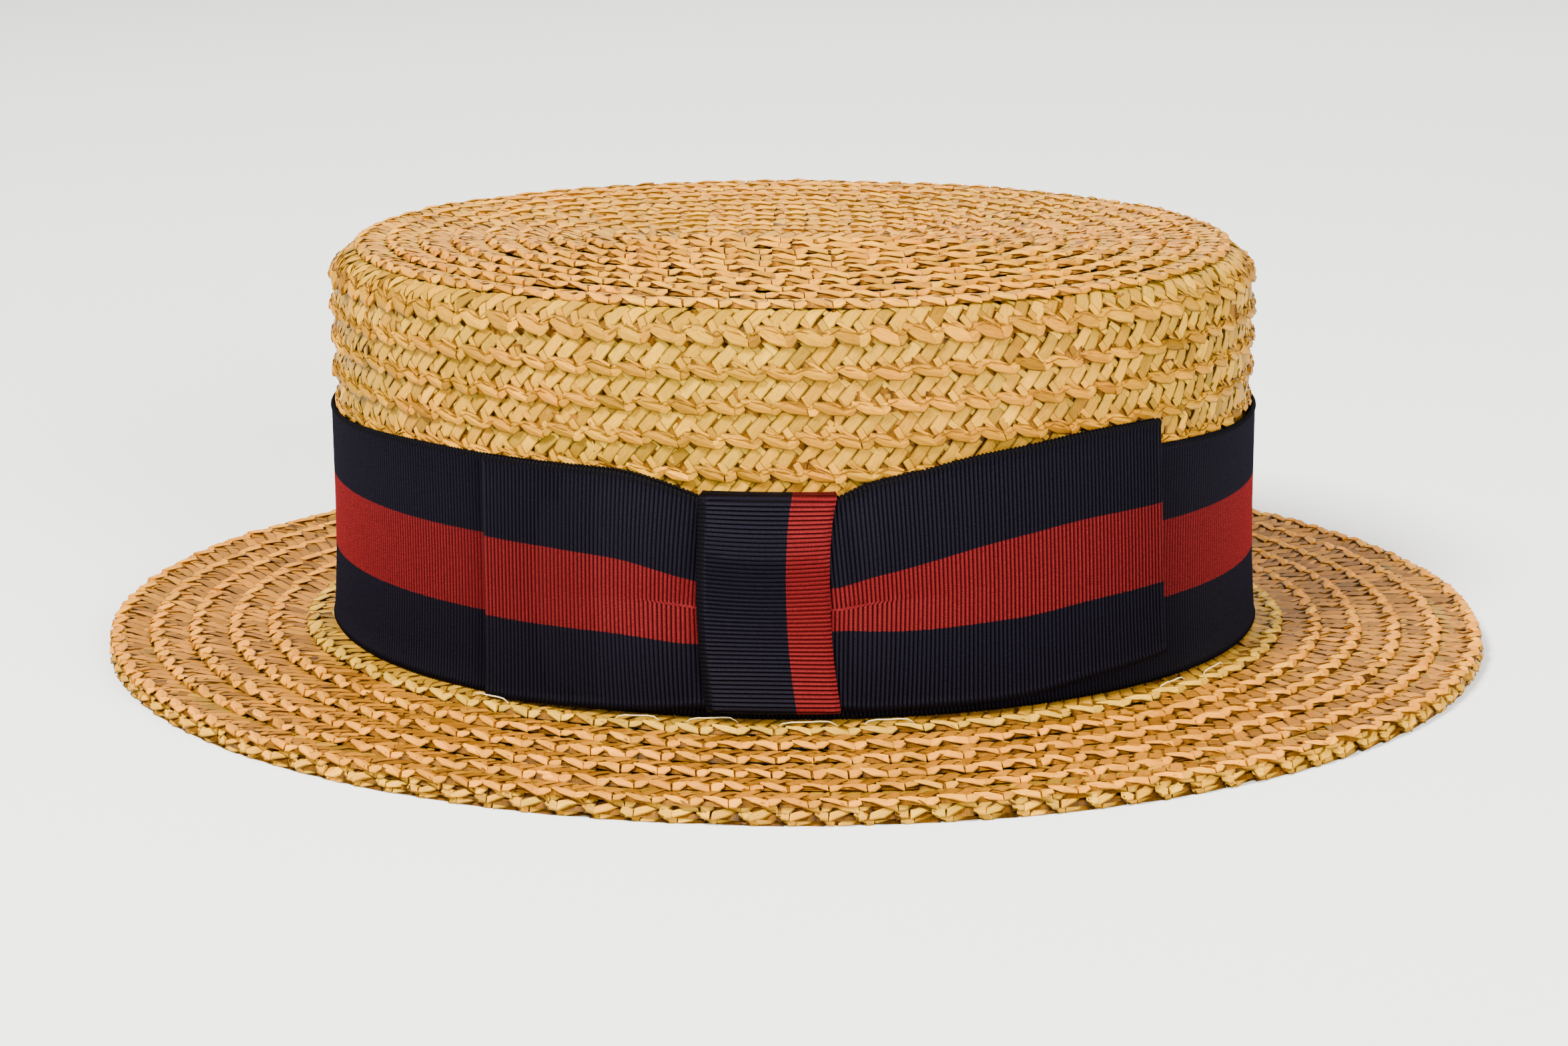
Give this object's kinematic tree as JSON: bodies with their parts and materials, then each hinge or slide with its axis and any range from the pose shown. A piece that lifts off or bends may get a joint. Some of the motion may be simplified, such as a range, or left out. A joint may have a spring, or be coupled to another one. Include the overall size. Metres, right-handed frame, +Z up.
{
  "type": "straw boater hat",
  "caption": "Flat-topped sewn-straw boater: oval crown and level brim of overlapping plait rows, striped ribbon band with a flat folded bow.",
  "frame": {"origin": "middle of the hat's underside, on the surface it lies on", "axes": "+Z up through the crown's tip, +X along the longer axis of the oval, the bow on the -Y side"},
  "size_m": [0.3128, 0.2768, 0.092],
  "materials": {
    "straw_crown": "sewn wheat-straw plait, golden, satin",
    "straw_brim": "sewn wheat-straw plait, sun-browned, satin",
    "straw_edge": "sewn wheat-straw plait, greenish where unfaded, satin",
    "ribbon": "ribbed grosgrain ribbon, navy with one red middle stripe, matt"
  },
  "bodies": {
    "root": {"crown_tip": "straw_crown", "crown_side": "straw_crown", "brim": "straw_brim", "brim_edge": "straw_edge", "hat_band": "ribbon", "bow_left_loop": "ribbon", "bow_right_loop": "ribbon", "bow_knot": "ribbon"}
  },
  "joints": []
}
